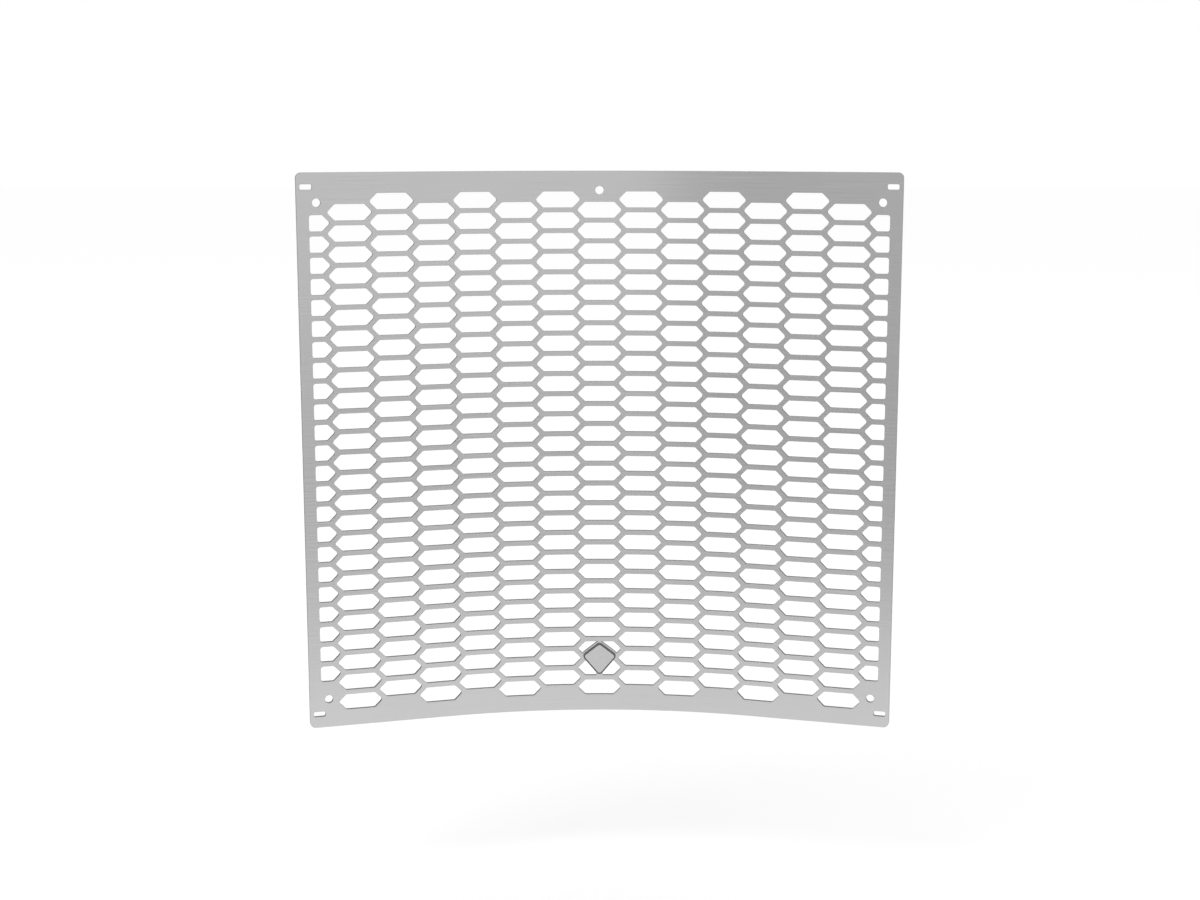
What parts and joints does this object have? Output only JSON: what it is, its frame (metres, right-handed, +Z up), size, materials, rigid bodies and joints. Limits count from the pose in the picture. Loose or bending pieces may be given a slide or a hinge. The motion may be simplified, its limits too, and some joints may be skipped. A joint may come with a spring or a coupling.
{
  "type": "motorcycle radiator guard",
  "caption": "Rolled aluminium guard for a motorcycle radiator: a grille of stretched hexagonal openings inside a plain rim, with screw holes, tie slots and a small bare badge.",
  "frame": {"origin": "middle of the box around the guard, at the height of its bottom edge", "axes": "+X across the width, to the right for someone in front of the guard, +Y from the hollow front to the back, +Z up along the flat height"},
  "size_m": [0.3712, 0.041, 0.352],
  "materials": {
    "sheet": "satin, finely brushed across the width",
    "badge": "satin face inside a dark enamelled border"
  },
  "bodies": {
    "root": {"guard_sheet": "sheet", "badge_plate": "badge"}
  },
  "joints": []
}
